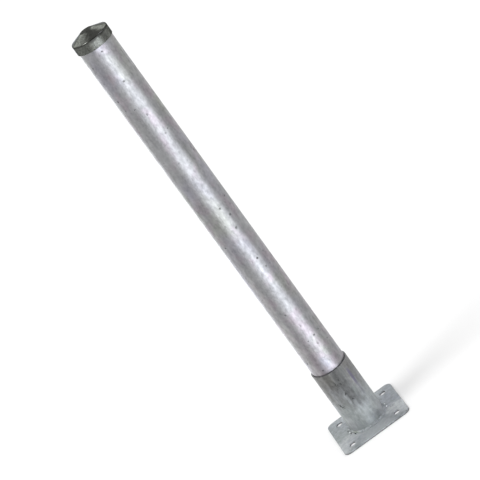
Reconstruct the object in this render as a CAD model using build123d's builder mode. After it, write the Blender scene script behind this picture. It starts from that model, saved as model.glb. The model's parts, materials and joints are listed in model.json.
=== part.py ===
from build123d import *
import math
import os

os.makedirs("parts", exist_ok=True)

# Round pole standing in the socket of a bolted base plate, closed by a conical cap.
# Millimetres, +Z up, origin at the middle of the plate's underside, plate sides along X and Y.

# Base plate
plate_side = 160.0
plate_thickness = 4.0
plate_corner_radius = 14.0
plate_edge_break = 0.6
bolt_spacing = 110.0
bolt_hole_diameter = 14.0

# Pole tube
pole_diameter = 76.1
pole_wall = 2.9
pole_length = 1000.0
pole_edge_break = 0.4

# Socket tube on the plate
socket_fit = 0.3
socket_wall = 2.9
socket_height = 150.0
socket_edge_break = 0.4
drain_notch_radius = 4.0

# Weld bead at the foot of the socket
weld_leg = 4.0
weld_crown = 0.5
weld_gap_past_notch = 1.5

# Cap over the top of the pole
cap_fit = 0.3
cap_seat_gap = 0.05
cap_sheet = 2.0
cap_skirt_depth = 20.0
cap_bend_radius = 3.0
cap_cone_angle = 22.0
cap_disc_share = 0.32

# Derived sizes
pole_radius = pole_diameter / 2
pole_bore_radius = pole_radius - pole_wall
pole_foot = plate_thickness
pole_top = pole_foot + pole_length
socket_bore_radius = pole_radius + socket_fit
socket_radius = socket_bore_radius + socket_wall
cap_bore_radius = pole_radius + cap_fit
cap_radius = cap_bore_radius + cap_sheet
cap_disc_radius = cap_disc_share * cap_radius
cap_slope = math.tan(math.radians(cap_cone_angle))
cap_flank = math.cos(math.radians(cap_cone_angle))

# Base plate: rounded square with a hole near each corner, its edges slightly broken
with BuildPart() as base_plate:
    with BuildSketch(Plane.XY):
        RectangleRounded(plate_side, plate_side, plate_corner_radius)
        with GridLocations(bolt_spacing, bolt_spacing, 2, 2):
            Circle(bolt_hole_diameter / 2, mode=Mode.SUBTRACT)
    extrude(amount=plate_thickness)
    flat_faces = base_plate.faces().filter_by(Axis.Z)
    rim_edges = [edge for face in flat_faces for edge in face.outer_wire().edges()]
    chamfer(rim_edges, length=plate_edge_break)
base_plate.part.label = "base_plate"
export_step(base_plate.part, "parts/base_plate.step")

# Socket tube: stands on the plate, open at the top, a drain notch at the left and right of its foot
with BuildPart() as socket_tube:
    with BuildSketch(Plane.XY.offset(plate_thickness)):
        Circle(socket_radius)
        Circle(socket_bore_radius, mode=Mode.SUBTRACT)
    extrude(amount=socket_height)
    chamfer(socket_tube.edges().group_by(Axis.Z)[-1], length=socket_edge_break)
    with BuildSketch(Plane.YZ):
        with Locations((0, plate_thickness)):
            Circle(drain_notch_radius)
    extrude(amount=socket_radius + weld_leg, both=True, mode=Mode.SUBTRACT)
socket_tube.part.label = "socket_tube"
export_step(socket_tube.part, "parts/socket_tube.step")

# Weld bead: a convex fillet against tube and plate, in two runs that leave the drain notches free
weld_gap = 2 * math.degrees(math.asin((drain_notch_radius + weld_gap_past_notch) / socket_radius))
weld_sweep = 180.0 - weld_gap
weld_corner = (socket_radius, plate_thickness)
weld_foot = (socket_radius + weld_leg, plate_thickness)
weld_head = (socket_radius, plate_thickness + weld_leg)
weld_crest = (
    socket_radius + weld_leg / 2 + weld_crown,
    plate_thickness + weld_leg / 2 + weld_crown,
)


def upright_plane(turn_deg):
    """Upright plane through the pole's axis, its first direction turned from +X about the axis."""
    turn = math.radians(turn_deg)
    return Plane(
        origin=(0, 0, 0),
        x_dir=(math.cos(turn), math.sin(turn), 0),
        z_dir=(math.sin(turn), -math.cos(turn), 0),
    )


with BuildPart() as weld_back:
    with BuildSketch(upright_plane(weld_gap / 2)):
        with BuildLine():
            Polyline(weld_head, weld_corner, weld_foot)
            ThreePointArc(weld_foot, weld_crest, weld_head)
        make_face()
    revolve(axis=Axis.Z, revolution_arc=weld_sweep)
weld_back.part.label = "weld_back"
export_step(weld_back.part, "parts/weld_back.step")

with BuildPart() as weld_front:
    with BuildSketch(upright_plane(180.0 + weld_gap / 2)):
        with BuildLine():
            Polyline(weld_head, weld_corner, weld_foot)
            ThreePointArc(weld_foot, weld_crest, weld_head)
        make_face()
    revolve(axis=Axis.Z, revolution_arc=weld_sweep)
weld_front.part.label = "weld_front"
export_step(weld_front.part, "parts/weld_front.step")

# Pole tube: straight round tube, standing on the plate inside the socket, both ends deburred
with BuildPart() as pole_tube:
    with BuildSketch(Plane.XY.offset(pole_foot)):
        Circle(pole_radius)
        Circle(pole_bore_radius, mode=Mode.SUBTRACT)
    extrude(amount=pole_length)
    chamfer(pole_tube.edges().filter_by(GeomType.CIRCLE), length=pole_edge_break)
pole_tube.part.label = "pole_tube"
export_step(pole_tube.part, "parts/pole_tube.step")

# Cap: sheet of even thickness, a skirt over the tube, a rounded shoulder, a cone and a flat disc.
# The underside of the cone sits on the outer edge of the tube's end.
cap_seat_radius = pole_radius - pole_edge_break
cap_cone_foot = pole_top + cap_seat_gap - (cap_bore_radius - cap_seat_radius) * cap_slope
cap_under_disc = cap_cone_foot + (cap_bore_radius - cap_disc_radius) * cap_slope
cap_top = cap_under_disc + cap_sheet
cap_flank_rise = cap_sheet / cap_flank
cap_skirt_end = pole_top - cap_skirt_depth
cap_disc_edge = cap_disc_radius + (cap_flank_rise - cap_sheet) / cap_slope
cap_shoulder = cap_cone_foot + cap_flank_rise - cap_sheet * cap_slope

with BuildPart() as pole_cap:
    with BuildSketch(Plane.XZ):
        with BuildLine():
            FilletPolyline(
                (cap_disc_radius, cap_under_disc),
                (cap_bore_radius, cap_cone_foot),
                (cap_bore_radius, cap_skirt_end),
                radius=cap_bend_radius - cap_sheet,
            )
            Line((cap_bore_radius, cap_skirt_end), (cap_radius, cap_skirt_end))
            FilletPolyline(
                (cap_radius, cap_skirt_end),
                (cap_radius, cap_shoulder),
                (cap_disc_edge, cap_top),
                radius=cap_bend_radius,
            )
            Polyline(
                (cap_disc_edge, cap_top),
                (0, cap_top),
                (0, cap_under_disc),
                (cap_disc_radius, cap_under_disc),
            )
        make_face()
    revolve(axis=Axis.Z)
pole_cap.part.label = "pole_cap"
export_step(pole_cap.part, "parts/pole_cap.step")

for piece in (base_plate, socket_tube, weld_front, weld_back, pole_tube, pole_cap):
    size = piece.part.bounding_box()
    print(piece.part.label, round(piece.part.volume, 1), size.min.Z, size.max.Z)
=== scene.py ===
import json
import math

import bpy
import numpy as np
from bpy.props import FloatProperty, FloatVectorProperty, IntProperty, PointerProperty
from mathutils import Matrix, Vector


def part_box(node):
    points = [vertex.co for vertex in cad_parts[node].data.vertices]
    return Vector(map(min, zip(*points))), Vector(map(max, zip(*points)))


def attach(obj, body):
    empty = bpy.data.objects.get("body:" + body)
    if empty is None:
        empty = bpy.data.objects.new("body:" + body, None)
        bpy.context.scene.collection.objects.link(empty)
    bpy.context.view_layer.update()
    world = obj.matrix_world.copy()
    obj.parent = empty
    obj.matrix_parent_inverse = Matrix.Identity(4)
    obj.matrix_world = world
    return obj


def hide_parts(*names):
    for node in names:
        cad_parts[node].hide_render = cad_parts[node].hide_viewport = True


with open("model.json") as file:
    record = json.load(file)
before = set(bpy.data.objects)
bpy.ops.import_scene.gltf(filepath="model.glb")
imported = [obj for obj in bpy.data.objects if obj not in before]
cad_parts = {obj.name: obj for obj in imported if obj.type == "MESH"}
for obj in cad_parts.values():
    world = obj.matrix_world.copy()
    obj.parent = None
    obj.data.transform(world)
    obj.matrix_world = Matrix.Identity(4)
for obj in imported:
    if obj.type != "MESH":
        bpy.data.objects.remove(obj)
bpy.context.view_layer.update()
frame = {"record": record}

bl_info = {
    "name": "Galvanised steel pole",
    "version": (1, 0, 0),
    "blender": (4, 5, 0),
    "location": "3D View > Sidebar > Pole",
    "description": "Builds a galvanised pole with base socket and cap around its CAD frame",
    "category": "Add Mesh",
}

MM = 0.001
TURN = 2 * math.pi


# Sizes that the CAD frame holds

def node_size(node):
    """Half of the node's width along X, its lowest and its highest Z."""
    low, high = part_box(node)
    return (high.x - low.x) / 2, low.z, high.z


PLATE_HALF, _, PLATE_TOP = node_size("base_plate")
SOCKET_RADIUS, _, SOCKET_RIM = node_size("socket_tube")
POLE_RADIUS, _, POLE_TOP = node_size("pole_tube")
CAP_RADIUS, CAP_SKIRT, CAP_TOP = node_size("pole_cap")
WELD_LEG = node_size("weld_front")[2] - PLATE_TOP
BOLTS = next(m["dims"] for m in frame["record"]["mounts"] if m["name"] == "anchor_bolts")


# Settings

def length(name, description, default):
    """A length property in metres."""
    return FloatProperty(name=name, description=description, default=default,
                         min=0.0, unit="LENGTH", precision=5)


def tilt(name, description, degrees):
    """An angle property, its default given in degrees."""
    return FloatProperty(name=name, description=description, default=math.radians(degrees),
                         subtype="ANGLE")


def tone(name, description, default):
    """A colour property."""
    return FloatVectorProperty(name=name, description=description, default=default,
                               size=3, min=0.0, max=1.0, subtype="COLOR")


class PoleSizes(bpy.types.PropertyGroup):
    """Sizes of the pieces, in metres"""

    plate_corner: length("Plate corner radius", "Radius of the base plate's corners", 14 * MM)
    plate_edge: length("Plate edge rounding", "Rounding of the plate's rim and holes", 0.6 * MM)
    bolt_spacing: length("Bolt spacing", "Distance between two bolt holes along a side",
                         BOLTS["spacing_x_mm"] * MM)
    bolt_radius: length("Bolt hole radius", "Radius of each bolt hole", BOLTS["hole_r_mm"] * MM)
    socket_wall: length("Socket wall", "Wall thickness of the socket tube", 2.9 * MM)
    notch_radius: length("Drain notch radius", "Radius of the notches at the socket's foot", 4 * MM)
    pole_wall: length("Pole wall", "Wall thickness of the pole tube", 2.9 * MM)
    tube_edge: length("Tube edge rounding", "Rounding of the tubes' ends", 0.4 * MM)
    cap_sheet: length("Cap sheet", "Sheet thickness of the cap", 2 * MM)
    cap_disc: length("Cap disc radius", "Radius of the flat disc on the cap", 0.32 * CAP_RADIUS)
    cap_bend: length("Cap bend radius", "Outer radius of the cap's shoulder", 3 * MM)
    cap_angle: tilt("Cap cone angle", "Slope of the cap's cone", 22)
    spatter_count: IntProperty(name="Spatter beads", description="Number of weld spatter beads",
                               default=24, min=0)


class ZincColours(bpy.types.PropertyGroup):
    """Tones of the zinc on each piece"""

    pole: tone("Pole zinc", "Zinc of the pole tube", (0.301, 0.303, 0.311))
    base_low: tone("Base zinc, low", "Zinc of the plate and of the socket's foot",
                   (0.350, 0.372, 0.380))
    # Painted shade: the socket's upper end is darker, standing for the dark room its zinc reflects
    base_high_shade: tone("Base zinc, high", "Zinc of the socket's upper end", (0.228, 0.226, 0.220))
    weld: tone("Weld zinc", "Zinc on the weld bead", (0.275, 0.293, 0.300))
    cap_dark: tone("Cap zinc, dark", "Darker zinc of the cap", (0.055, 0.056, 0.052))
    cap_pale: tone("Cap zinc, pale", "Paler mottling of the cap", (0.206, 0.215, 0.198))
    cap_brown: tone("Cap patina", "Brown patina on one side of the cap", (0.070, 0.056, 0.049))
    dross: tone("Dross", "Dark specks and dross in the zinc", (0.050, 0.052, 0.052))


class StudioSettings(bpy.types.PropertyGroup):
    """Camera and floor"""

    elevation: tilt("Elevation", "Camera height above the horizon", 21)
    roll: tilt("Roll", "Turn of the picture, the pole's top to the left", 36)
    distance: length("Distance", "From the camera to the middle of the pole", 5.0)
    frame_width: length("Frame width", "Width of the picture at the middle of the pole", 0.95)
    floor_tone: FloatProperty(name="Floor tone", description="Reflectance of the floor",
                              default=0.8, min=0.0, max=1.0, subtype="FACTOR")


# Surfaces

def smooth_noise(points, wavelength, seed, waves=16):
    """Mean of plane sine waves with random directions and phases and lengths near the given
    wavelength, scaled so that it mostly stays between -1 and 1."""
    draw = np.random.default_rng(seed)
    direction = draw.normal(size=(waves, 3))
    direction /= np.linalg.norm(direction, axis=1, keepdims=True)
    lengths = wavelength * draw.uniform(0.7, 1.6, waves)
    phase = draw.uniform(0, TURN, waves)
    wave = points @ (direction * (TURN / lengths[:, None])).T + phase
    return np.sin(wave).mean(axis=-1) * math.sqrt(waves / 2)


def skin_waves(points, layers, fold=False):
    """Unevenness of a zinc skin in metres, the sum of layers of smooth noise. Each layer has a
    height and a length in millimetres, the share of Z that it follows, and a seed. Folded at 0,
    the layers are dents."""
    total = 0.0
    for height, wavelength, along, seed in layers:
        wave = smooth_noise(points * (1, 1, along), wavelength * MM, seed)
        total = total + height * MM * (np.abs(wave) if fold else wave)
    return total


def fade(value, low, high):
    """Smooth step: 0 at low and past it, 1 at high and past it. Low may be the larger one."""
    share = np.clip((value - low) / (high - low), 0, 1)
    return share * share * (3 - 2 * share)


def run(start, end, steps):
    """Evenly spaced points on a straight line, both ends included."""
    return np.linspace(start, end, steps)


def ring(steps):
    """Even angles of one turn, each once."""
    return np.linspace(0, TURN, steps, endpoint=False)


def arc(centre, radius, start, end, steps):
    """Points (radius, height) on a circle from angle start to angle end, in degrees."""
    turn = np.radians(run(start, end, steps))
    return np.stack([centre[0] + radius * np.cos(turn), centre[1] + radius * np.sin(turn)], -1)


def carry_round(profile, turns):
    """Profile points (radius, height), carried round the Z axis through the given angles."""
    radius, height = profile[:, None, 0], profile[:, None, 1]
    flat = np.broadcast_to(height, (len(profile), len(turns)))
    return np.stack([radius * np.cos(turns), radius * np.sin(turns), flat], -1)


def grid(points, closed_rows=False, closed_columns=False, flip=False, **values):
    """One patch of a surface: a grid of points, whether its rows and columns close, whether its
    faces are turned over, and named values for its points."""
    return points, (closed_rows, closed_columns, flip), values


def grid_faces(rows, columns, closed_rows, closed_columns, flip):
    """Four corners of each cell of a grid, as point numbers."""
    row = np.arange(rows if closed_rows else rows - 1)[:, None]
    column = np.arange(columns if closed_columns else columns - 1)[None, :]
    next_row, next_column = (row + 1) % rows, (column + 1) % columns
    corners = [row * columns + column, row * columns + next_column,
               next_row * columns + next_column, next_row * columns + column]
    faces = np.stack([c.ravel() for c in corners], -1)
    return faces[:, ::-1] if flip else faces


def join_grids(name, grids, weld_distance=1e-6):
    """A mesh from several grids. Points at the same place become one, and cells that have
    shrunk to a line or point there lose the doubled corners."""
    points, faces, start = [], [], 0
    values = {key: [] for key in sorted({key for _, _, given in grids for key in given})}
    for patch, form, given in grids:
        shape = patch.shape[:2]
        faces.append(grid_faces(*shape, *form) + start)
        points.append(patch.reshape(-1, 3))
        for key, parts in values.items():
            parts.append(np.broadcast_to(given.get(key, 0.0), shape).reshape(-1))
        start += shape[0] * shape[1]
    points, faces = np.concatenate(points), np.concatenate(faces)
    keys = np.round(points / weld_distance).astype(np.int64)
    _, first, number = np.unique(keys, axis=0, return_index=True, return_inverse=True)
    faces = number.reshape(-1)[faces]
    kept = faces != np.roll(faces, -1, axis=1)
    corners = kept.sum(axis=1)
    whole = faces[corners == 4].tolist()
    pointed = faces[corners == 3][kept[corners == 3]].reshape(-1, 3).tolist()
    mesh = bpy.data.meshes.new(name)
    mesh.from_pydata(points[first], [], whole + pointed)
    for key, parts in values.items():
        store(mesh, key, np.concatenate(parts)[first])
    mesh.shade_smooth()
    return mesh


def mesh_points(mesh, what="co"):
    """The mesh's points, or their normals, as one array."""
    found = np.zeros(len(mesh.vertices) * 3, np.float32)
    mesh.vertices.foreach_get(what, found)
    return found.reshape(-1, 3).astype(float)


def store(mesh, name, values):
    """Keeps one value for each point of the mesh under a name."""
    mesh.attributes.new(name, "FLOAT", "POINT").data.foreach_set("value", values.astype(np.float32))


def swell(mesh, offsets):
    """Moves each point of the mesh along its normal by its offset, in metres."""
    moved = mesh_points(mesh) + mesh_points(mesh, "normal") * offsets[:, None]
    mesh.vertices.foreach_set("co", moved.astype(np.float32).ravel())
    mesh.update()


def add_piece(mesh, material, slot, *replaced):
    """Links the mesh as a piece of its name on the pole's body, in place of the CAD nodes."""
    piece = bpy.data.objects.new(mesh.name, mesh)
    bpy.context.scene.collection.objects.link(piece)
    mesh.materials.append(material)
    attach(piece, "root")
    if replaced:
        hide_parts(*replaced)


# Shader nodes

def add_node(tree, kind, inputs=None, **settings):
    """Adds a node with its settings and inputs. Gives its outputs as wires, found by number or
    by name."""
    node = tree.nodes.new(kind)
    for key, value in settings.items():
        setattr(node, key, value)
    for key, value in (inputs or {}).items():
        if isinstance(value, Wire):
            tree.links.new(value.socket, node.inputs[key])
        else:
            node.inputs[key].default_value = value
    wires = [Wire(socket) for socket in node.outputs]
    return {**dict(enumerate(wires)), **{wire.socket.name: wire for wire in wires}}


class Wire:
    """An output of a shader node. Reckoning with wires and numbers adds Math nodes."""

    def __init__(self, socket):
        self.socket, self.tree = socket, socket.id_data

    def calc(self, operation, *values, kind="ShaderNodeMath"):
        """A Math node's result, this wire being its first value."""
        inputs = dict(enumerate((self, *values)))
        return add_node(self.tree, kind, inputs, operation=operation)[0]

    def move(self, operation, *values):
        """A Vector Math node's result, this wire being its first value."""
        return self.calc(operation, *values, kind="ShaderNodeVectorMath")

    def __add__(self, other):
        return self.calc("ADD", other)

    def __sub__(self, other):
        return self.calc("SUBTRACT", other)

    def __mul__(self, other):
        return self.calc("MULTIPLY", other)

    def __truediv__(self, other):
        return self.calc("DIVIDE", other)

    __radd__ = __add__

    def ramp(self, low, high, to_low=0.0, to_high=1.0):
        """A clamped, smooth change of range."""
        inputs = {"Value": self, "From Min": low, "From Max": high, "To Min": to_low,
                  "To Max": to_high}
        return add_node(self.tree, "ShaderNodeMapRange", inputs, interpolation_type="SMOOTHSTEP")[0]

    def bell(self, centre, width):
        """1 at the centre, falling off on both sides as a bell curve of the given width."""
        off = (self - centre) / width
        return (off * off * -1.0).calc("EXPONENT")

    def wrap(self):
        """This angle, brought between minus and plus half a turn."""
        return self.calc("WRAP", math.pi, -math.pi)

    def noise(self, scale, detail=3.0, roughness=0.5):
        """A noise texture's value at this vector."""
        inputs = {"Vector": self, "Scale": scale, "Detail": detail, "Roughness": roughness}
        return add_node(self.tree, "ShaderNodeTexNoise", inputs)[0]

    def cells(self, scale):
        """The outputs of a texture of cells at this vector."""
        return add_node(self.tree, "ShaderNodeTexVoronoi", {"Vector": self, "Scale": scale})

    def parts(self):
        """This colour's red, green and blue."""
        return add_node(self.tree, "ShaderNodeSeparateColor", {0: self})

    def stretch(self, along):
        """This vector with its Z scaled, which draws a pattern out along the pole."""
        inputs = {"Vector": self, "Scale": (1.0, 1.0, along)}
        return add_node(self.tree, "ShaderNodeMapping", inputs)[0]

    def polar(self):
        """This vector's angle round the Z axis, 0 in front and growing towards +X, and its Z."""
        axes = add_node(self.tree, "ShaderNodeSeparateXYZ", {0: self})
        return axes[0].calc("ARCTAN2", axes[1] * -1.0), axes[2]


def colour(values):
    """A colour with its alpha."""
    return (*values, 1.0)


def blend(share, under, over, mode="MIX"):
    """A colour mix of under and over by a share."""
    tree = (share if isinstance(share, Wire) else under).tree
    under, over = (c if isinstance(c, Wire) else colour(c) for c in (under, over))
    return add_node(tree, "ShaderNodeMix", {0: share, 6: under, 7: over}, data_type="RGBA",
                    blend_type=mode)[2]


def spaced(inputs):
    """Named inputs with a space for each _ in their names."""
    return {key.replace("_", " "): value for key, value in inputs.items()}


def new_group(name, numbers):
    """An empty shader group whose inputs are a vector and some numbers with their defaults. Gives
    the group, and its inputs as wires."""
    tree = bpy.data.node_groups.new(name, "ShaderNodeTree")
    tree.interface.new_socket("Vector", in_out="INPUT", socket_type="NodeSocketVector")
    for title, default in numbers.items():
        socket = tree.interface.new_socket(title, in_out="INPUT", socket_type="NodeSocketFloat")
        socket.default_value = default
    return tree, add_node(tree, "NodeGroupInput")


def end_group(tree, **results):
    """Puts the results out of the group as numbers, and gives the finished group."""
    for title in results:
        tree.interface.new_socket(title, in_out="OUTPUT", socket_type="NodeSocketFloat")
    add_node(tree, "NodeGroupOutput", results)
    return tree


def effect(name, place, **inputs):
    """An effect group's outputs at a place, its inputs given by their names with _ for a space.
    The group is built once, when it is first asked for."""
    group = bpy.data.node_groups.get(name) or EFFECTS[name](name)
    return add_node(place.tree, "ShaderNodeGroup", {"Vector": place} | spaced(inputs),
                    node_tree=group)


def specks(place, cells, size, share):
    """Where the specks are: how many cells a metre, the size of a speck as a share of its cell,
    and the share of cells that hold one."""
    return effect("zinc specks", place, Cells_per_metre=cells, Size=size, Share=share)["Mask"]


def band(place, degrees, half_degrees, low, high, softness):
    """Where a band is, for patina and for painted light and shade: its angle from the front and
    half width in degrees, its heights and how soft its ends are."""
    return effect("patina and shade band", place, Angle=math.radians(degrees), Low=low, High=high,
                  Half_width=math.radians(half_degrees), Softness=softness)["Mask"]


def make_crystals(name):
    """Zinc crystals: cells with a random tone each, their borders bent by noise, under a finer
    grain. Tone is 0.5 plus or minus about half the contrast, Height their relief."""
    tree, given = new_group(name, {"Crystals per metre": 160.0, "Contrast": 1.0})
    place = given["Vector"]
    waves = add_node(tree, "ShaderNodeTexNoise", {"Vector": place, "Scale": 420.0, "Detail": 2.0})
    bend = waves["Color"].move("MULTIPLY_ADD", (4 * MM,) * 3, (-2 * MM,) * 3)
    cells = place.move("ADD", bend).cells(given["Crystals per metre"])
    grain = place.noise(1300.0, 4.0, 0.65)
    spread = (cells["Color"].parts()[0] - 0.5) * 0.6 + (grain - 0.5) * 1.2
    return end_group(tree, Tone=spread * given["Contrast"] + 0.5,
                     Height=cells["Distance"] * -0.5 + grain)


def make_clouds(name):
    """Uneven zinc: Flakes a few millimetres long, Streaks drawn out along the pole, Clouds of some
    centimetres, and three tints, Cool, Warm and Pink. All are noise, between 0 and 1."""
    tree, given = new_group(name, {"Seed": 0.0})
    away = add_node(tree, "ShaderNodeCombineXYZ", {0: given["Seed"], 1: given["Seed"] * 1.7})[0]
    place = given["Vector"].move("ADD", away)
    far = place.move("ADD", (3.0, 5.0, 7.0))
    return end_group(tree, Flakes=place.stretch(0.5).noise(150.0, 4.0, 0.62),
                     Streaks=place.stretch(0.07).noise(150.0, 4.0, 0.6),
                     Clouds=place.stretch(0.6).noise(30.0, 4.0, 0.55),
                     Cool=place.stretch(0.5).noise(14.0, 2.0),
                     Warm=far.stretch(0.5).noise(17.0, 2.0),
                     Pink=far.stretch(0.7).noise(34.0))


def make_specks(name):
    """Specks: small ragged spots in a share of random cells. Mask is 1 inside a speck."""
    tree, given = new_group(name, {"Cells per metre": 90.0, "Size": 0.12, "Share": 0.3})
    place = given["Vector"]
    cells = place.cells(given["Cells per metre"])
    draw = cells["Color"].parts()
    chosen = draw[0].calc("LESS_THAN", given["Share"])
    size = given["Size"] * (draw[1] + 0.35)
    reach = cells["Distance"] + (place.noise(900.0, 2.0) - 0.5) * 0.34
    return end_group(tree, Mask=reach.ramp(size, size * 0.45) * chosen)


def make_cluster(name):
    """A cluster of dross on a tube, at an angle from the front and a height, with its half width
    and half length. Noise is kept where it passes a limit that rises away from the middle."""
    tree, given = new_group(name, {"Angle": 0.0, "Height": 0.1, "Tube radius": 0.04,
                                   "Half width": 0.005, "Half length": 0.01})
    angle, height = given["Vector"].polar()
    across = (angle - given["Angle"]) * given["Tube radius"] / given["Half width"]
    along = (height - given["Height"]) / given["Half length"]
    grains = given["Vector"].stretch(0.6).noise(285.0, 4.0, 0.65)
    limit = (across * across + along * along) * 0.14 + 0.5
    return end_group(tree, Mask=(grains - limit).ramp(0.0, 0.07))


def make_band(name):
    """A soft upright band round a tube: inside its half width of an angle from the front, and
    between two heights. Its borders wander by streaky noise."""
    tree, given = new_group(name, {"Angle": 0.0, "Half width": 0.2, "Low": 0.05, "High": 0.15,
                                   "Softness": 0.01})
    angle, height = given["Vector"].polar()
    soft = given["Softness"]
    wander = given["Vector"].stretch(0.12).noise(130.0, 3.0, 0.55) - 0.5
    off = (angle - given["Angle"]).wrap().calc("ABSOLUTE") / given["Half width"] + wander * 1.6
    lift = height + soft * (wander * 5.0)
    upright = ((lift - given["Low"]) / soft).ramp(-1.0, 1.0)
    upright = upright * ((given["High"] - lift) / soft).ramp(-1.0, 1.0)
    return end_group(tree, Mask=upright * off.ramp(1.35, 0.45))


def make_edges(name):
    """Edges: from a value that is 1 on an edge and fades away from it, the first output is a broken
    dark line along the edge, partly soiling and partly painted shade on rims and in holes, and the
    second marks short rubbed stretches right on it, paler, partly wear and partly a painted
    highlight."""
    tree, given = new_group(name, {"Edge": 0.0})
    place = given["Vector"]
    dirt_shade = given["Edge"] + (place.noise(130.0, 4.0, 0.6) - 0.5) * 1.1
    worn_sheen = given["Edge"] + (place.noise(600.0, 3.0, 0.6) - 0.58) * 2.0
    return end_group(tree, Dirt=dirt_shade.ramp(0.35, 0.85), Worn=worn_sheen.ramp(0.95, 1.15))


EFFECTS = {"zinc crystals": make_crystals, "zinc clouds": make_clouds, "zinc specks": make_specks,
           "dross cluster": make_cluster, "patina and shade band": make_band, "edge shade and wear": make_edges}


# Materials

# Tones of patches, specks and marks, some of them painted light and shade
# Painted light: the paler stretch low on the pole's left side
PALE_LIT_SIDE = (0.43, 0.43, 0.43)
# Partly painted glints: pale specks of zinc grains that catch the light
PALE_GLINT_SPECK = (0.62, 0.63, 0.64)
SMEAR = (0.150, 0.155, 0.150)
PLATE_GREY = (0.246, 0.264, 0.275)
# Painted light: the plate paler before and behind the socket, where the socket shades it
PLATE_LIT_STRIP = (0.44, 0.46, 0.47)
DULL_CORNER = (0.160, 0.172, 0.180)
# Partly soiling, partly painted shade: the dark line along edges and in the bolt holes
EDGE_DIRT_SHADE = (0.11, 0.11, 0.11)
# Partly wear, partly painted highlight: pale rubbed stretches on the edges
EDGE_WORN_SHEEN = (0.45, 0.46, 0.47)
# Painted shade between the weld's ripples
WELD_HOLLOW_SHADE = (0.09, 0.095, 0.10)
# Partly painted glints: pale bare zinc beads by the drain notches
BRIGHT_GLINT_BEAD = (0.82, 0.84, 0.84)
# Painted dark reflection: the cap's darker front
CAP_FRONT_SHADE = (0.030, 0.030, 0.028)
CAP_DISC = (0.070, 0.070, 0.064)
# Partly wear, partly painted highlight: pale rubbed stretches on the cap's edges
CAP_WORN_SHEEN = (0.36, 0.37, 0.36)
# Painted shade: the dark line along the cap's shoulder
CAP_SHOULDER_SHADE = (0.040, 0.040, 0.038)
CAP_GLANCE = (0.35, 0.35, 0.35)

# The pole's paler stretch, painted light on its lower left side: angle from the front and half
# width in degrees, lower and upper end and softness in metres
PALE_LIT_STRETCH = (-56, 18, 0.12, 0.46, 0.06)

# The cap's brown side, a patina, and its dark front, a painted dark reflection: angle from the
# front and half width in degrees
CAP_BROWN_SIDE = (133, 30)
CAP_PAINTED_DARK_FRONT = (14, 31)

# Patina, painted shade and painted reflection on the socket: angle from the front and half width in
# degrees, lower and upper end in millimetres above the plate, colour, strength
SOCKET_PATINA_AND_SHADE = (
    # The rows at 5, 4, 20 and 3 degrees are painted shade. They darken the socket's front where the
    # front soft box lights it, and stand for the dark room it reflects. The two pale rows at -58
    # and 58 low down are a painted reflection of the pale plate at the socket's foot. The other
    # rows are patina.
    (5, 26, 50, 175, (0.118, 0.121, 0.119), 0.78),
    (4, 14, 66, 175, (0.058, 0.058, 0.057), 0.66),
    (-27, 11, 104, 175, (0.090, 0.089, 0.077), 0.55),
    (63, 16, 78, 175, (0.190, 0.190, 0.196), 0.30),
    (20, 9, 126, 175, (0.200, 0.205, 0.200), 0.35),
    (-28, 10, 64, 98, (0.150, 0.150, 0.142), 0.45),
    (37, 5, 98, 136, (0.125, 0.115, 0.200), 0.62),
    (38, 4, 66, 140, (0.170, 0.165, 0.215), 0.40),
    (19, 6, 78, 100, (0.180, 0.200, 0.188), 0.40),
    (-58, 7, 58, 160, (0.190, 0.192, 0.186), 0.35),
    (-58, 20, -12, 34, (0.520, 0.535, 0.540), 0.55),
    (58, 20, -12, 30, (0.520, 0.535, 0.540), 0.55),
    (38, 8, -12, 16, (0.160, 0.170, 0.175), 0.35),
    (3, 22, 16, 62, (0.200, 0.210, 0.212), 0.60),
    (96, 12, 80, 175, (0.110, 0.112, 0.105), 0.55),
    (134, 6, 40, 118, (0.135, 0.132, 0.180), 0.50),
    (172, 14, 70, 175, (0.100, 0.100, 0.096), 0.60),
    (-102, 10, 92, 175, (0.105, 0.106, 0.098), 0.50),
    (-143, 7, 50, 130, (0.400, 0.410, 0.415), 0.45),
)
BAND_SOFTNESS = 9 * MM

# Dross on the socket: angle from the front in degrees, then height above the plate, half width
# and half length in millimetres
SOCKET_DROSS = (
    (-16, 117, 13, 15), (-42, 72, 9, 13), (-9, 92, 5, 8), (0, 74, 5, 9), (-2, 139, 6, 7),
    (-84, 10, 9, 6), (78, 12, 9, 8), (118, 104, 9, 12), (-158, 62, 7, 16),
)


def empty_tree(owner):
    """The node tree of a material or a world, emptied."""
    owner.use_nodes = True
    owner.node_tree.nodes.clear()
    return owner.node_tree


def new_zinc(name, crystals, seed, contrast=1.0):
    """A new material, its object coordinates, and its crystals and clouds at them."""
    material = bpy.data.materials.new(name)
    place = add_node(empty_tree(material), "ShaderNodeTexCoord")["Object"]
    cells = effect("zinc crystals", place, Crystals_per_metre=crystals, Contrast=contrast)
    return material, place, cells, effect("zinc clouds", place, Seed=seed)


def end_zinc(material, **inputs):
    """Gives the material a metal shader with these inputs, and gives the finished material."""
    tree = material.node_tree
    shader = add_node(tree, "ShaderNodeBsdfPrincipled", {"Metallic": 1.0} | spaced(inputs))
    add_node(tree, "ShaderNodeOutputMaterial", {"Surface": shader[0]})
    return material


def stored(place, name):
    """A value that the mesh's points keep under a name."""
    return add_node(place.tree, "ShaderNodeAttribute", attribute_name=name)["Fac"]


def bumps(*layers):
    """The normal of layers of bump, one on the other, each given by its height and distance."""
    below = {}
    for height, distance in layers:
        inputs = {"Height": height, "Distance": distance} | below
        below = {"Normal": add_node(height.tree, "ShaderNodeBump", inputs)[0]}
    return below["Normal"]


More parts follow.
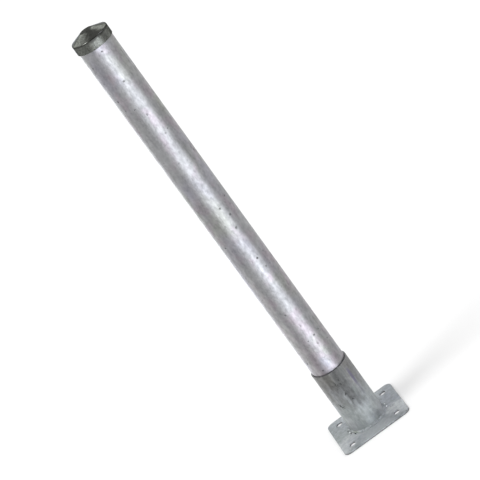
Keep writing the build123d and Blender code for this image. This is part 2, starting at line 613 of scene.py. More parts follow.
def lighten(shade, *parts):
    """The colour times 1 plus each pattern's distance from 0.5 times its gain."""
    factor = sum(((pattern - 0.5) * gain for pattern, gain in parts), 1.0)
    grey = add_node(shade.tree, "ShaderNodeCombineXYZ", {0: factor, 1: factor, 2: factor})[0]
    return blend(1.0, shade, grey, "MULTIPLY")


def tint(base, clouds, share):
    """The base tone with its bluish and its yellowish clouds."""
    cool, warm = (np.minimum(np.array(base) * hue, 1.0)
                  for hue in ((1.00, 0.97, 1.12), (0.98, 1.00, 0.88)))
    shade = blend(clouds["Cool"].ramp(0.45, 0.65, 0.0, share), base, cool)
    return blend(clouds["Warm"].ramp(0.48, 0.68, 0.0, share), shade, warm)


def pole_material(colours):
    """Pale satin zinc: flaky mottling, faint marks drawn out along the pole, bluish, yellowish and
    pinkish clouds, a paler stretch low on the left that is painted light, faint smears, dark specks
    in patches and some pale ones, which are partly painted glints."""
    material, place, crystals, clouds = new_zinc("pole_zinc", crystals=210.0, seed=3.1)
    dark = specks(place, cells=62.0, size=0.18, share=0.90)
    dark = dark * clouds["Clouds"].ramp(0.42, 0.58, 0.10, 0.85)
    smears = specks(place.stretch(0.30), cells=52.0, size=0.26, share=0.60)
    pale = specks(place, cells=130.0, size=0.16, share=0.22)
    pink = clouds["Pink"] + place.polar()[1].ramp(0.45, 0.20, 0.0, 0.08)
    shade = blend(pink.ramp(0.48, 0.70), tint(colours.pole, clouds, 0.6),
                  np.array(colours.pole) * (1.05, 0.96, 1.01))
    # Painted light: a paler stretch on the pole's lower left side
    shade = blend(band(place, *PALE_LIT_STRETCH) * 0.5, shade, PALE_LIT_SIDE)
    shade = lighten(shade, (crystals["Tone"], 0.24), (clouds["Flakes"], 0.85),
                    (clouds["Streaks"], 0.40), (clouds["Clouds"], 0.45))
    # Partly painted glints: pale specks of zinc grains that catch the light
    shade = blend(pale * 0.30, shade, PALE_GLINT_SPECK)
    shade = blend(smears * 0.28, shade, SMEAR)
    shade = blend(dark, shade, colours.dross)
    rough = clouds["Flakes"].ramp(0.32, 0.68, 0.42, 0.32) + dark * 0.25
    normal = bumps((clouds["Flakes"], 0.25 * MM), (crystals["Height"], 0.12 * MM),
                   (dark, -0.25 * MM))
    return end_zinc(material, Base_Color=shade, Roughness=rough, Normal=normal)


def socket_patina_and_shade(shade, place):
    """The colour with the socket's bands on it: patina, painted shade and painted reflection."""
    for degrees, half_degrees, low, high, band_tone, strength in SOCKET_PATINA_AND_SHADE:
        where = band(place, degrees, half_degrees, PLATE_TOP + low * MM, PLATE_TOP + high * MM,
                     BAND_SOFTNESS)
        shade = blend(where * strength, shade, band_tone)
    return shade


def base_marks(place):
    """Where the dark marks of the base are: small specks and the socket's clusters of dross."""
    marks = specks(place, cells=70.0, size=0.10, share=0.14)
    for degrees, height, half_width, half_length in SOCKET_DROSS:
        cluster = effect("dross cluster", place, Angle=math.radians(degrees),
                         Height=PLATE_TOP + height * MM, Tube_radius=SOCKET_RADIUS,
                         Half_width=half_width * MM, Half_length=half_length * MM)
        marks = marks.calc("MAXIMUM", cluster["Mask"])
    return marks


def base_material(colours):
    """Dull bluish zinc, greyer and livelier towards the socket's rim and darker there as painted
    shade, with bands and dross on the socket, the bands partly patina and partly painted shade and
    reflection, a pale strip on the plate before and behind it that is painted light, dull front
    corners, and dark edges, partly soiling and partly painted shade, with paler rubbed stretches on
    them that are partly a painted highlight."""
    material, place, crystals, clouds = new_zinc("base_zinc", crystals=170.0, seed=7.7)
    edges = effect("edge shade and wear", place, Edge=stored(place, "edge"))
    marks = base_marks(place)
    cloudy, height = clouds["Clouds"] - 0.5, place.polar()[1]
    # Painted shade: the socket darkens towards its rim, standing for the dark room its zinc
    # reflects
    upper_shade = (height + cloudy * 0.08).ramp(PLATE_TOP + 40 * MM, SOCKET_RIM - 10 * MM)
    upright = height.ramp(PLATE_TOP, PLATE_TOP + 5 * MM, 0.4, 1.0)
    lively = height.ramp(PLATE_TOP + 8 * MM, PLATE_TOP + 70 * MM, 0.30, 1.0)
    shade = blend(upper_shade, tint(colours.base_low, clouds, 0.5), colours.base_high_shade)
    shade = blend(upright, PLATE_GREY, shade)
    shade = socket_patina_and_shade(shade, place)
    shade = lighten(shade, (crystals["Tone"], 0.28), (clouds["Flakes"], lively * 0.6),
                    (clouds["Streaks"], lively * 0.6), (clouds["Clouds"], lively * 0.3))
    # Painted light: the plate paler before and behind the socket, where the socket shades it
    strip = (stored(place, "strip") + cloudy * 0.5).ramp(0.10, 1.00, 0.0, 0.80)
    shade = blend(strip, shade, PLATE_LIT_STRIP)
    shade = blend(stored(place, "corner") * 0.22, shade, DULL_CORNER)
    shade = blend(marks * 0.80, shade, colours.dross)
    # Partly soiling, partly painted shade: a dark line along the rims and in the bolt holes
    shade = blend(edges["Dirt"] * 0.85, shade, EDGE_DIRT_SHADE)
    # Partly wear, partly painted highlight: pale rubbed stretches on the edges
    shade = blend(edges["Worn"] * 0.45, shade, EDGE_WORN_SHEEN)
    rough = clouds["Flakes"].ramp(0.32, 0.68, 0.62, 0.50) + (upright - 1.0) * -0.3 + marks * 0.2
    normal = bumps((clouds["Flakes"], lively * (0.7 * MM)), (crystals["Height"], 0.14 * MM),
                   (marks, 0.30 * MM))
    return end_zinc(material, Base_Color=shade, Roughness=rough, Normal=normal)


def weld_material(colours):
    """Zinc over the weld bead and its spatter, darker between the ripples as painted shade, with
    bright and dark beads among them, the bright ones partly painted glints.
    """
    material, place, crystals, clouds = new_zinc("weld_zinc", crystals=420.0, seed=5.3)
    shade = lighten(tint(colours.weld, clouds, 0.8), (crystals["Tone"], 0.5),
                    (clouds["Flakes"], 1.1))
    # Painted shade between the weld's ripples
    shade = blend(stored(place, "hollow") * 0.25, shade, WELD_HOLLOW_SHADE)
    shade = blend(stored(place, "dark"), shade, colours.dross)
    # Partly painted glints: pale bare zinc beads by the drain notches
    shade = blend(stored(place, "bright"), shade, BRIGHT_GLINT_BEAD)
    return end_zinc(material, Base_Color=shade, Normal=bumps((crystals["Height"], 0.20 * MM)),
                    Roughness=crystals["Tone"].ramp(0.2, 0.8, 0.66, 0.52))


def cap_material(colours):
    """Dark half-glossy zinc, speckled paler: a smooth dark disc, a brown patina on one side of the
    cone, a darker front that is a painted dark reflection, a dark line along the shoulder that is
    painted shade, and pale rubbed stretches on the disc's edge and the skirt's end, partly a
    painted highlight."""
    material, place, crystals, clouds = new_zinc("cap_zinc", crystals=640.0, seed=12.4,
                                                 contrast=0.8)
    spots = specks(place, cells=230.0, size=0.26, share=0.30)
    edge = stored(place, "edge")
    worn_sheen = effect("edge shade and wear", place, Edge=edge)["Worn"]
    brown, front = (band(place, *side, POLE_TOP - 4 * MM, CAP_TOP + 4 * MM, 3 * MM)
                    for side in (CAP_BROWN_SIDE, CAP_PAINTED_DARK_FRONT))
    pale = crystals["Tone"] + (clouds["Flakes"] - 0.55) * 0.8
    shade = blend(pale.ramp(-0.15, 1.15), colours.cap_dark, colours.cap_pale)
    shade = blend(brown * 0.88, shade, colours.cap_brown)
    # Painted dark reflection on the cap's front
    shade = blend(front * 0.80, shade, CAP_FRONT_SHADE)
    shade = blend(stored(place, "disc") * 0.85, shade, CAP_DISC)
    shade = blend(spots * 0.6, shade, colours.dross)
    # Partly wear, partly painted highlight on the disc's edge and the skirt's end
    shade = blend(worn_sheen * 0.7, shade, CAP_WORN_SHEEN)
    # Painted shade: a dark line along the cap's shoulder
    shade = blend(stored(place, "shoulder_shade") * 0.7, shade, CAP_SHOULDER_SHADE)
    rough = pale.ramp(0.1, 1.0, 0.12, 0.20) + edge * 0.2
    normal = bumps((clouds["Flakes"], 0.12 * MM), (crystals["Height"], 0.04 * MM),
                   (spots, -0.06 * MM))
    return end_zinc(material, Base_Color=shade, Roughness=rough, Normal=normal,
                    Specular_Tint=colour(CAP_GLANCE))


# Pieces

# Waves and dents in the zinc skins: height and length in millimetres, share of Z, seed
PLATE_WAVES = ((0.07, 35, 1, 11), (0.03, 11, 1, 12))
RIM_DENTS = ((0.20, 18, 1, 13), (0.10, 6, 1, 14))
SOCKET_WAVES = ((0.07, 22, 0.25, 21), (0.03, 8, 1, 22))
POLE_WAVES = ((0.09, 26, 0.22, 61), (0.035, 10, 0.5, 62))
CAP_DENTS = ((0.07, 20, 1, 71), (0.03, 7, 1, 72))

# Weld bead: where it starts past a drain notch, the length of its rounded ends, how deep it is
# sunk into socket and plate, the pitch of its ripples and how far their middle runs ahead
WELD_GAP = 1.5 * MM
WELD_NOSE = 3.2 * MM
WELD_SUNK = 0.35 * MM
RIPPLE_PITCH = 2.6 * MM
RIPPLE_BOW = 1.3 * MM

# Beads by the drain notches: angle from the front in degrees, distance from the socket's wall and
# half length in millimetres, how dark (1) or bright (0). The bright ones are pale zinc, partly
# painted glints.
NOTCH_BEADS = (
    (-82, 5.4, 2.0, 0.0), (-92, 7.2, 1.5, 1.0), (-79, 2.6, 1.8, 0.9), (-73, 6.2, 1.7, 1.0),
    (-65, 2.4, 1.6, 0.8), (-56, 4.8, 2.1, 1.0), (-72, 10.2, 0.9, 0.7), (-49, 7.6, 0.9, 0.8),
    (82, 5.2, 2.0, 0.0), (74, 3.2, 1.3, 0.9), (90, 8.6, 0.9, 0.7), (67, 6.2, 0.9, 0.5),
    (99, 4.6, 1.7, 0.2), (107, 3.0, 1.4, 0.9), (-100, 3.8, 1.5, 0.3), (-109, 5.4, 1.5, 1.0),
)
BEAD_FOOT = 0.3 * MM
SPATTER_SEED = 57

# Frozen runs of zinc down the pole
ZINC_RUNS = 9
ZINC_RUNS_SEED = 63


def tube_section(rows, outer, wall, foot, top, edge, inner_rows):
    """Closed section of a tube: up the outer wall, over the rounded rim, down the bore and under
    the rounded foot. rows are the heights of the points on the outer wall."""
    inner = outer - wall
    return np.concatenate([
        np.stack([np.full(len(rows), outer), rows], -1),
        arc((outer - edge, top - edge), edge, 0, 90, 4),
        arc((inner + edge, top - edge), edge, 90, 180, 4),
        run((inner, top - 2 * edge), (inner, foot + 2 * edge), inner_rows),
        arc((inner + edge, foot + edge), edge, 180, 270, 4),
        arc((outer - edge, foot + edge), edge, 270, 360, 4)[:-1],
    ])


def bare_wall(points, radius, *ends):
    """1 on a tube's outer wall, 0 elsewhere. Each end of the bare part is given by a height where
    it is 0 and one where it is 1."""
    share = fade(np.hypot(points[:, 0], points[:, 1]), radius - 0.3 * MM, radius - 0.05 * MM)
    for covered, bare in ends:
        share = share * fade(points[:, 2], covered, bare)
    return share


def quadrant_outline(half, corner, straight=44, bend=18):
    """Outline of a plate's quarter, anticlockwise from its middle: along X, up the side, round
    the corner, back along the other side and home. Also tells which points lie on the rim."""
    reach = half - corner
    sides = [
        run((0, 0), (half, 0), straight)[:-1],
        run((half, 0), (half, reach), straight)[:-1],
        arc((reach, reach), corner, 0, 90, bend)[:-1],
        run((reach, half), (0, half), straight)[:-1],
        run((0, half), (0, 0), straight)[:-1],
    ]
    count = [len(side) for side in sides]
    return np.concatenate(sides), slice(count[0], sum(count[:4]) + 1)


def plate_grids(sizes):
    """Rounded square plate. Each quarter's top and underside run from the bolt hole's edge out to
    the quarter's outline, the rim and the hole walls carry a rounded section along those edges."""
    half, corner, edge = PLATE_HALF, sizes.plate_corner, sizes.plate_edge
    hole, place = sizes.bolt_radius, np.full(2, sizes.bolt_spacing / 2)
    outline, rim = quadrant_outline(half - edge, corner - edge)
    outer, _ = quadrant_outline(half, corner)
    ray = outline - place
    ray /= np.linalg.norm(ray, axis=1, keepdims=True)
    lip = place + ray * (hole + edge)
    share = np.concatenate([[0.0, 0.01], run(0.04, 0.96, 34), [0.99, 1.0]])

    def level(points, height):
        """The points (x, y) at a height."""
        return np.concatenate([points, np.full((*points.shape[:-1], 1), height)], -1)

    share = share[:, None, None]
    face = lip * (1 - share) + outline * share
    coarse = face[[0, 1, 18, -2, -1]]
    upper = arc((0, 0), 1, 90, 0, 5)
    section = np.concatenate([upper * (1, edge) + (0, PLATE_TOP - edge),
                              upper[::-1] * (1, -edge) + (0, edge)])
    side = [level(outline[rim] * (1 - s) + outer[rim] * s, z) for s, z in section]
    bore = [level(place + ray * (hole + edge * (1 - s)), z) for s, z in section]
    patches = [(level(face, PLATE_TOP), True, True), (level(coarse, 0.0), True, False),
               (np.stack(side), False, True), (np.stack(bore), True, False)]
    return [grid(points * (sx, sy, 1.0), closed_columns=closed, flip=flip != (sx * sy < 0))
            for sx, sy in ((1, 1), (-1, 1), (-1, -1), (1, -1)) for points, closed, flip in patches]


def make_plate(sizes, material):
    """Base plate, its top slightly uneven and its rim a little dented. Stores how near each point
    is to an edge, from the distances to the rounded outline and to the nearest hole, how straight
    it lies before or behind the socket, and how near it is to a diagonal of the front half."""
    mesh = join_grids("base_plate_zinc", plate_grids(sizes))
    points = mesh_points(mesh)
    x, y, z = points.T
    quarter = np.abs(points[:, :2])
    past = quarter - (PLATE_HALF - sizes.plate_corner)
    border = sizes.plate_corner - np.linalg.norm(np.maximum(past, 0), axis=1)
    border -= np.minimum(past.max(axis=1), 0)
    hole = np.linalg.norm(quarter - sizes.bolt_spacing / 2, axis=1) - sizes.bolt_radius
    near = fade(np.minimum(border, 0.6 * hole), 1.6 * MM, 0.3 * MM)
    # The edge value is stronger towards the underside, on the rim and in the bolt holes, where it
    # paints shade
    store(mesh, "edge", near * (1 - 0.66 * fade(z, 0.7 * MM, 1.9 * MM)))
    past_weld = np.hypot(x, y) - SOCKET_RADIUS - WELD_LEG
    ahead = y ** 2 / np.maximum(x ** 2 + y ** 2, 1e-6)
    # Painted light: paler before and behind the socket, which shades the plate there
    store(mesh, "strip", ahead ** 2 * fade(past_weld, 60 * MM, 34 * MM))
    dull = 4 * ahead * (1 - ahead) * fade(y, -4 * MM, -26 * MM)
    store(mesh, "corner", dull * fade(past_weld, 2 * MM, 14 * MM))
    on_top = fade(z, PLATE_TOP - 0.2 * MM, PLATE_TOP) * fade(border, 0.5 * MM, 4 * MM)
    on_rim = fade(border, 0.7 * MM, 0.2 * MM) * fade(z, 0.3 * MM, 0.9 * MM)
    dents = skin_waves(points, RIM_DENTS, fold=True)
    swell(mesh, -(skin_waves(points, PLATE_WAVES) * on_top + dents * on_rim))
    add_piece(mesh, material, "base_zinc", "base_plate")


def socket_turns(notch_share, columns, notch_columns):
    """Angles round the socket: close together over each drain notch, even between them."""
    across = np.arcsin(notch_share * np.sin(run(-math.pi / 2, math.pi / 2, notch_columns)))
    between = run(across[-1], math.pi + across[0], columns)[1:-1]
    half = np.concatenate([across, between])
    return np.concatenate([half, half + math.pi])


def make_socket(sizes, material):
    """Socket tube. Its foot line rises over each drain notch as a half circle does, and the rows
    of points above it even out within a quarter of its height. Stores how near each point is to
    the rim or to a notch."""
    edge, notch = sizes.tube_edge, sizes.notch_radius
    height = SOCKET_RIM - PLATE_TOP
    rows = PLATE_TOP + np.concatenate([run(edge, height - 2 * edge, 118), [height - edge * 1.3]])
    section = tube_section(rows, SOCKET_RADIUS, sizes.socket_wall, PLATE_TOP, SOCKET_RIM, edge, 24)
    turns = socket_turns(notch / SOCKET_RADIUS, 150, 17)
    patch = carry_round(section, turns)
    rise = np.sqrt(np.clip(notch ** 2 - (SOCKET_RADIUS * np.sin(turns)) ** 2, 0, None))
    patch[..., 2] += rise * np.clip(1 - (patch[..., 2] - PLATE_TOP) / height * 4, 0, 1) ** 2
    mesh = join_grids("socket_tube_zinc", [grid(patch, True, True)])
    points = mesh_points(mesh)
    _, y, z = points.T
    to_edge = np.minimum(SOCKET_RIM - z, np.hypot(y, z - PLATE_TOP) - notch)
    store(mesh, "edge", fade(to_edge, 1.7 * MM, 0.3 * MM))
    bare = bare_wall(points, SOCKET_RADIUS, (PLATE_TOP + 8 * MM, PLATE_TOP + 14 * MM),
                     (SOCKET_RIM - 1 * MM, SOCKET_RIM - 5 * MM))
    swell(mesh, skin_waves(points, SOCKET_WAVES) * bare)
    add_piece(mesh, material, "base_zinc", "socket_tube")


def weld_grid(start, end, seed):
    """Weld bead between two angles. Its section is 62 percent flat fillet and 38 percent round,
    its reach from the corner rises and falls in crescent ripples along the bead, its toes wander
    and its ends close in a round nose. The last row of points is the sunken corner. Stores how
    deep each point lies between two ripples."""
    along = run(start, end, 460)
    across = np.append(run(0, math.pi / 2, 13), 0)[:, None]
    distance, left = (along - start) * SOCKET_RADIUS, (end - along) * SOCKET_RADIUS
    to_end = np.clip(np.minimum(distance, left) / WELD_NOSE, 0, 1)
    nose = np.sqrt(1 - (1 - to_end) ** 2)
    wall = carry_round(np.array([[SOCKET_RADIUS, 0]]), along)[0]
    bow = (across / (math.pi / 4) - 1) ** 2
    phase = (distance + RIPPLE_BOW * bow) / RIPPLE_PITCH + 0.45 * smooth_noise(wall, 12 * MM, seed)
    ripple = (1 - np.abs(np.sin(math.pi * phase))) ** 1.5
    size = 1 + 0.12 * smooth_noise(wall, 15 * MM, seed + 1)
    size += 0.06 * smooth_noise(wall, 5 * MM, seed + 2)
    section = 0.62 / (np.cos(across) + np.sin(across)) + 0.38 * 0.92
    reach = WELD_LEG * section * (size - 0.09 * ripple) * (0.10 + 0.90 * nose) + WELD_SUNK
    reach[-1], ripple[-1] = 0, 0
    radius = SOCKET_RADIUS - WELD_SUNK + reach * np.cos(across)
    height = PLATE_TOP - WELD_SUNK + reach * np.sin(across)
    for values in (radius, height):
        values[:, [0, -1]] = values[:, [0, -1]].mean(axis=0)
    points = np.stack([radius * np.cos(along), radius * np.sin(along), height], -1)
    return grid(points, closed_rows=True, hollow=ripple)


def make_welds(sizes, material):
    """The two weld beads, back and front, each from drain notch to drain notch."""
    gap = math.asin((sizes.notch_radius + WELD_GAP) / SOCKET_RADIUS)
    for node, start, seed in (("weld_back", 0.0, 31), ("weld_front", math.pi, 41)):
        bead = weld_grid(start + gap, start + math.pi - gap, seed)
        add_piece(join_grids(node + "_zinc", [bead]), material, "weld_zinc", node)


def bead_grid(angle, reach, size, dark, draw):
    """One spatter bead: a dome on the plate, longer than wide, its outline wavering with the turn,
    its foot just below the plate's top and closed below by a row at its middle."""
    rise, turns = run(0, math.pi / 2, 6)[:, None], ring(16)
    waver = 1 + 0.14 * np.sin(2 * turns + draw.uniform(0, TURN))
    waver += 0.09 * np.sin(3 * turns + draw.uniform(0, TURN))
    x = size * np.cos(rise) * np.cos(turns) * waver
    y = size * draw.uniform(0.55, 0.9) * np.cos(rise) * np.sin(turns) * waver
    z = size * draw.uniform(0.4, 0.75) * np.sin(rise) + 0 * x
    z[0] = -BEAD_FOOT
    spin = draw.uniform(0, TURN)
    cos, sin = math.cos(spin), math.sin(spin)
    dome = np.stack([x * cos - y * sin, x * sin + y * cos, z], -1)
    dome = np.concatenate([dome[:1] * (0, 0, 1), dome])
    dome += (reach * math.sin(angle), -reach * math.cos(angle), PLATE_TOP)
    return grid(dome, closed_columns=True, dark=dark, bright=max(0.0, 1.0 - 1.6 * dark))


def make_spatter(sizes, material):
    """Weld spatter: the larger beads by the drain notches, and small dull ones strewn round the
    weld, more of them near the notches."""
    draw = np.random.default_rng(SPATTER_SEED)
    grids = [bead_grid(math.radians(degrees), SOCKET_RADIUS + off * MM, size * MM, dark, draw)
             for degrees, off, size, dark in NOTCH_BEADS]
    for number in range(sizes.spatter_count):
        side = math.copysign(math.pi / 2, number % 2 - 0.5)
        angle = side + draw.normal() * 0.40 if number % 3 else draw.uniform(-math.pi, math.pi)
        reach = SOCKET_RADIUS + WELD_LEG * draw.uniform(1.0, 4.6)
        size, dark = draw.uniform(0.4, 1.0) * MM, draw.uniform(0.4, 0.9)
        grids.append(bead_grid(angle, reach, size, dark, draw))
    add_piece(join_grids("weld_spatter", grids), material, "weld_zinc")


def zinc_runs(points):
    """Thickness of the frozen runs down the pole: each is a ridge across, and along it grows from
    its upper end to a rounded drop at its lower end."""
    draw = np.random.default_rng(ZINC_RUNS_SEED)
    x, y, z = points.T
    angle, total = np.arctan2(x, -y), 0.0
    for low in draw.uniform(0.18, 0.85, ZINC_RUNS):
        at, tall = draw.uniform(-math.pi, math.pi), draw.uniform(0.05, 0.20)
        width, thick = draw.uniform(1.6, 3.0) * MM, draw.uniform(0.12, 0.28) * MM
        off = (angle - at + math.pi) % TURN - math.pi
        across = np.exp(-(off * POLE_RADIUS / width) ** 2)
        share = (z - low) / tall
        body = np.clip(1 - share, 0, 1) ** 1.5 * fade(share, -0.03, 0.03)
        drop = np.exp(-((z - low - width) / (width * 1.4)) ** 2)
        total = total + thick * across * (0.5 * body + 0.7 * drop)
    return total


def make_pole(sizes, material):
    """Pole tube: a plain round tube, its zinc skin gently uneven, with a few thin frozen runs. Its
    rows of points lie close together where socket and cap leave it bare."""
    edge, start, end = sizes.tube_edge, SOCKET_RIM - 8 * MM, CAP_SKIRT + 4 * MM
    rows = np.concatenate([run(PLATE_TOP + edge, start, 6)[:-1], run(start, end, 330),
                           run(end + 4 * MM, POLE_TOP - edge * 1.3, 3)])
    section = tube_section(rows, POLE_RADIUS, sizes.pole_wall, PLATE_TOP, POLE_TOP, edge, 8)
    mesh = join_grids("pole_tube_zinc", [grid(carry_round(section, ring(236)), True, True)])
    points = mesh_points(mesh)
    bare = bare_wall(points, POLE_RADIUS, (SOCKET_RIM + 1 * MM, SOCKET_RIM + 10 * MM),
                     (CAP_SKIRT - 1 * MM, CAP_SKIRT - 8 * MM))
    swell(mesh, (skin_waves(points, POLE_WAVES) + zinc_runs(points)) * bare)
    add_piece(mesh, material, "pole_zinc", "pole_tube")


def cap_profile(sizes):
    """Section of the cap from the middle of its underside, down the inside, round the skirt's end,
    up the outside, over the shoulder and the cone to the middle of the disc. Also gives the
    radius at which the cone meets the disc."""
    slope, lean = math.tan(sizes.cap_angle), math.degrees(sizes.cap_angle)
    sheet, bend, disc = sizes.cap_sheet, sizes.cap_bend, sizes.cap_disc
    bore, under = CAP_RADIUS - sheet, CAP_TOP - sheet
    foot = under - (bore - disc) * slope
    rise = sheet / math.cos(sizes.cap_angle)
    disc_edge = disc + (rise - sheet) / slope
    tuck = bend * math.tan(math.radians(90 - lean) / 2)
    centre = np.array((CAP_RADIUS - bend, foot + rise - sheet * slope - tuck))
    lip, crest = 0.5 * sheet, 0.7 * MM
    down = np.array((math.cos(sizes.cap_angle), -math.sin(sizes.cap_angle)))
    corner = np.array((disc_edge, CAP_TOP))
    cone_foot = centre + bend * down[::-1] * (-1, 1)
    crest_out, crest_in = corner + crest * down, corner - (crest, 0)
    share = run(0, 1, 6)[:, None]
    rounding = ((1 - share) ** 2 * crest_out + 2 * share * (1 - share) * corner
                + share ** 2 * crest_in)
    section = np.concatenate([
        run((0, under), (disc, under), 5),
        run((disc, under), (bore, foot), 10)[1:-1],
        run((bore, foot), (bore, CAP_SKIRT + lip), 6),
        arc((CAP_RADIUS - lip, CAP_SKIRT + lip), lip, 180, 360, 9)[1:],
        run((CAP_RADIUS, CAP_SKIRT + 1.4 * lip), (CAP_RADIUS, centre[1] - 0.4 * MM), 18),
        arc(centre, bend, 0, 90 - lean, 9),
        run(cone_foot, crest_out, 48)[1:-1],
        rounding,
        run(crest_in, (0, CAP_TOP), 20)[1:],
    ])
    return section, disc_edge


def make_cap(sizes, material):
    """Cap: the section carried round the axis, the outside with a few shallow dents. Stores which
    points lie on the disc, how near each is to the disc's edge or to the skirt's end, and how
    near it is to the shoulder, where the colour is darkened as painted shade."""
    section, disc_edge = cap_profile(sizes)
    patch = grid(carry_round(section, ring(220)), closed_columns=True)
    mesh = join_grids("pole_cap_zinc", [patch])
    points, facing = mesh_points(mesh), mesh_points(mesh, "normal")[:, 2]
    radius, z = np.hypot(points[:, 0], points[:, 1]), points[:, 2]
    above = fade(z, POLE_TOP - 2 * MM, POLE_TOP + 1 * MM) * fade(facing, 0.0, 0.3)
    store(mesh, "disc", above * fade(radius, disc_edge, disc_edge - 0.8 * MM))
    near_disc = above * fade(np.abs(radius - disc_edge), 1.3 * MM, 0.3 * MM)
    near_skirt = fade(z - CAP_SKIRT, 1.6 * MM, 0.3 * MM)
    store(mesh, "edge", np.maximum(0.55 * near_disc, near_skirt))
    to_shoulder = CAP_RADIUS - radius + np.abs(z - POLE_TOP)
    # Painted shade along the shoulder
    store(mesh, "shoulder_shade", fade(to_shoulder, 3.2 * MM, 0.8 * MM))
    outside = above * fade(radius, 1 * MM, 6 * MM)
    swell(mesh, -skin_waves(points, CAP_DENTS, fold=True) * outside)
    add_piece(mesh, material, "cap_zinc", "pole_cap")


# Stage

# What metal sees low down, all round the horizon: direction from the front and half width in
# degrees, strength. The first is the soft box in front, the last the one behind. The others take
# light away beside the first.
LOW_BOXES = ((14, 29, 2.45), (62, 17, -0.42), (-58, 20, -0.28), (-165, 26, 1.5))

# Soft boxes high up: direction and half width in degrees, height as a share of the sky's,
# strength. The first is the coolest. One of a negative strength takes light away.
HIGH_BOXES = ((78, 9, 0.72, 10.0), (-42, 15, 0.72, 1.6), (-69, 5, 0.72, 8.0),
              (-101, 3, 0.72, 4.2), (-89, 7, 0.72, -0.5), (142, 9, 0.72, -0.35),
              (-134, 12, 0.72, 0.6), (158, 12, 0.48, 2.4), (-156, 12, 0.48, 2.4))
HIGH_BOX_HEIGHT = 0.22

# Colours of the light, floor, lamp and camera, with lengths in metres
WHITE = (1.0, 1.0, 1.0)
COOL_LIGHT = (0.950, 0.975, 1.02)
COOLEST_LIGHT = (0.955, 0.950, 1.06)
FLOOR_HALF = 30.0
FLOOR_GLOW = 0.06
LAMP_STRENGTH = 0.95
LAMP_SPREAD = math.radians(18)
LAMP_DIRECTION = Vector((-0.84, -0.24, 1.7))
CAMERA_TARGET = (0.0, 0.0, 0.487)
CAMERA_SIDE_STEP = 0.004


def make_world():
    """White surroundings. Metal also sees soft boxes: cool upright ones low down, and narrower
    ones high up, the first of them the coolest, where the surroundings are dim in front and pale
    behind."""
    world = bpy.data.worlds.new("white_studio")
    bpy.context.scene.world = world
    tree = empty_tree(world)
    glossy = add_node(tree, "ShaderNodeLightPath")["Is Glossy Ray"]
    angle, height = add_node(tree, "ShaderNodeTexCoord")["Generated"].polar()
    low = sum((angle - math.radians(at)).wrap().bell(0.0, math.radians(width)) * strength
              for at, width, strength in LOW_BOXES) * height.ramp(0.50, 0.15)
    high = [height.bell(lift, HIGH_BOX_HEIGHT) * strength
            * angle.bell(math.radians(at), math.radians(width))
            for at, width, lift, strength in HIGH_BOXES]
    dim = (angle.calc("COSINE") * -0.45 - 0.38) * height.ramp(0.25, 0.60)
    level = (low + dim + sum(high)) * glossy + 1.0
    cool = blend(glossy * (high[0] * 0.15 + low).ramp(0.0, 1.5), WHITE, COOL_LIGHT)
    cool = blend(glossy * high[0].ramp(0.0, 4.0), cool, COOLEST_LIGHT)
    surface = add_node(tree, "ShaderNodeBackground", {"Color": cool, "Strength": level})
    add_node(tree, "ShaderNodeOutputWorld", {"Surface": surface[0]})


def floor_material(floor_tone):
    """Matt floor with a faint glow that only the camera sees."""
    material = bpy.data.materials.new("floor_white")
    tree = empty_tree(material)
    seen = add_node(tree, "ShaderNodeLightPath")["Is Camera Ray"]
    matt = add_node(tree, "ShaderNodeBsdfDiffuse", {"Color": colour((floor_tone,) * 3)})
    glow = add_node(tree, "ShaderNodeEmission",
                    {"Color": colour(WHITE), "Strength": seen * FLOOR_GLOW})
    both = add_node(tree, "ShaderNodeAddShader", {0: matt[0], 1: glow[0]})
    add_node(tree, "ShaderNodeOutputMaterial", {"Surface": both[0]})
    return material


def make_floor(studio):
    """Pale floor that keeps the pole's shadow and reads as white beside it."""
    corners = np.array([[-1, -1, 0], [1, -1, 0], [1, 1, 0], [-1, 1, 0]]) * FLOOR_HALF
    mesh = bpy.data.meshes.new("floor")
    mesh.from_pydata(corners, [], [(0, 1, 2, 3)])
    mesh.materials.append(floor_material(studio.floor_tone))
    floor = bpy.data.objects.new("floor", mesh)
    bpy.context.scene.collection.objects.link(floor)
    floor.visible_glossy = False


def make_lamp():
    """A broad soft lamp from the upper left, far away, so that it lights evenly."""
    data = bpy.data.lights.new("key_lamp", "SUN")
    data.energy, data.angle = LAMP_STRENGTH, LAMP_SPREAD
    lamp = bpy.data.objects.new("key_lamp", data)
    lamp.rotation_euler = LAMP_DIRECTION.to_track_quat("Z", "Y").to_euler()
    bpy.context.scene.collection.objects.link(lamp)


def make_camera(studio):
    """A long lens in front of the pole, raised and rolled so that the pole runs from the upper
    left to the lower right of the picture."""
    data = bpy.data.cameras.new("camera")
    data.sensor_fit = "HORIZONTAL"
    data.lens = data.sensor_width * studio.distance / studio.frame_width
    camera = bpy.data.objects.new("camera", data)
    raised = Matrix.Rotation(math.pi / 2 - studio.elevation, 4, "X")
    rolled = Matrix.Rotation(-studio.roll, 4, "Z")
    away = Matrix.Translation((CAMERA_SIDE_STEP, 0, studio.distance))
    camera.matrix_world = Matrix.Translation(CAMERA_TARGET) @ raised @ rolled @ away
    bpy.context.scene.collection.objects.link(camera)
    bpy.context.scene.camera = camera


# Operators

class PieceOperator:
    """What the operators of the pieces share: the materials that are made so far."""

    bl_options = {"REGISTER", "UNDO"}
    materials = {}

    def add(self, context, make_material, *make_pieces):
        """Adds the pieces in their material, which is made when it is first asked for."""
        if make_material not in self.materials:
            self.materials[make_material] = make_material(context.scene.zinc_colours)
        for make_piece in make_pieces:
            make_piece(context.scene.pole_sizes, self.materials[make_material])
        return {"FINISHED"}


class POLE_OT_base_plate(PieceOperator, bpy.types.Operator):
    """Add the base plate with its four bolt holes"""

    bl_idname = "pole.base_plate"
    bl_label = "Base plate"

    def execute(self, context):
        return self.add(context, base_material, make_plate)


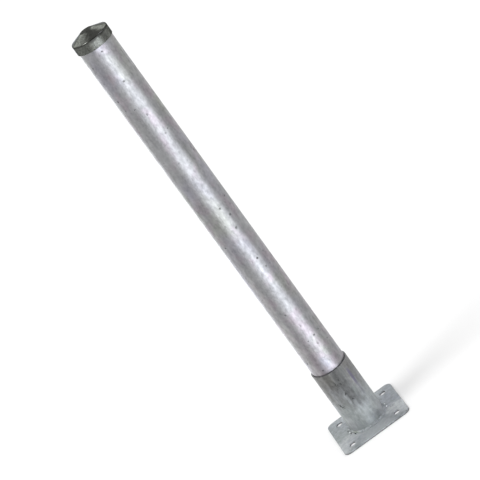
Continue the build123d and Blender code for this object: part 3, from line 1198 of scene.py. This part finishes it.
class POLE_OT_socket(PieceOperator, bpy.types.Operator):
    """Add the socket tube on the base plate"""

    bl_idname = "pole.socket"
    bl_label = "Socket tube"

    def execute(self, context):
        return self.add(context, base_material, make_socket)


class POLE_OT_welds(PieceOperator, bpy.types.Operator):
    """Add the weld beads at the socket's foot, with their spatter"""

    bl_idname = "pole.welds"
    bl_label = "Weld beads"

    def execute(self, context):
        return self.add(context, weld_material, make_welds, make_spatter)


class POLE_OT_tube(PieceOperator, bpy.types.Operator):
    """Add the pole tube"""

    bl_idname = "pole.tube"
    bl_label = "Pole tube"

    def execute(self, context):
        return self.add(context, pole_material, make_pole)


class POLE_OT_cap(PieceOperator, bpy.types.Operator):
    """Add the conical cap"""

    bl_idname = "pole.cap"
    bl_label = "Pole cap"

    def execute(self, context):
        return self.add(context, cap_material, make_cap)


class POLE_OT_studio(bpy.types.Operator):
    """Add the white floor, the lamp, the surroundings and the camera"""

    bl_idname = "pole.studio"
    bl_label = "Studio"

    def execute(self, context):
        studio = context.scene.pole_studio
        context.scene.view_settings.view_transform = "Standard"
        make_world()
        make_floor(studio)
        make_lamp()
        make_camera(studio)
        return {"FINISHED"}


class POLE_PT_panel(bpy.types.Panel):
    """Sidebar panel with the pieces, sizes and colours"""

    bl_idname = "POLE_PT_panel"
    bl_label = "Galvanised pole"
    bl_space_type = "VIEW_3D"
    bl_region_type = "UI"
    bl_category = "Pole"

    def draw(self, context):
        for operator in OPERATORS:
            self.layout.operator(operator.bl_idname)
        for name in SETTINGS:
            group, column = getattr(context.scene, name), self.layout.box().column()
            for key in group.__annotations__:
                column.prop(group, key)


OPERATORS = (POLE_OT_base_plate, POLE_OT_socket, POLE_OT_welds, POLE_OT_tube, POLE_OT_cap,
             POLE_OT_studio)
SETTINGS = {"pole_sizes": PoleSizes, "zinc_colours": ZincColours, "pole_studio": StudioSettings}


def register():
    """Registers the classes and hangs the settings on the scene."""
    for item in (*SETTINGS.values(), *OPERATORS, POLE_PT_panel):
        bpy.utils.register_class(item)
    for name, group in SETTINGS.items():
        setattr(bpy.types.Scene, name, PointerProperty(type=group))


def unregister():
    """Takes the settings and the classes away again."""
    for name in SETTINGS:
        delattr(bpy.types.Scene, name)
    for item in reversed((*SETTINGS.values(), *OPERATORS, POLE_PT_panel)):
        bpy.utils.unregister_class(item)


def main():
    register()
    bpy.ops.pole.base_plate()
    bpy.ops.pole.socket()
    bpy.ops.pole.welds()
    bpy.ops.pole.tube()
    bpy.ops.pole.cap()
    bpy.ops.pole.studio()


if __name__ == "__main__":
    main()
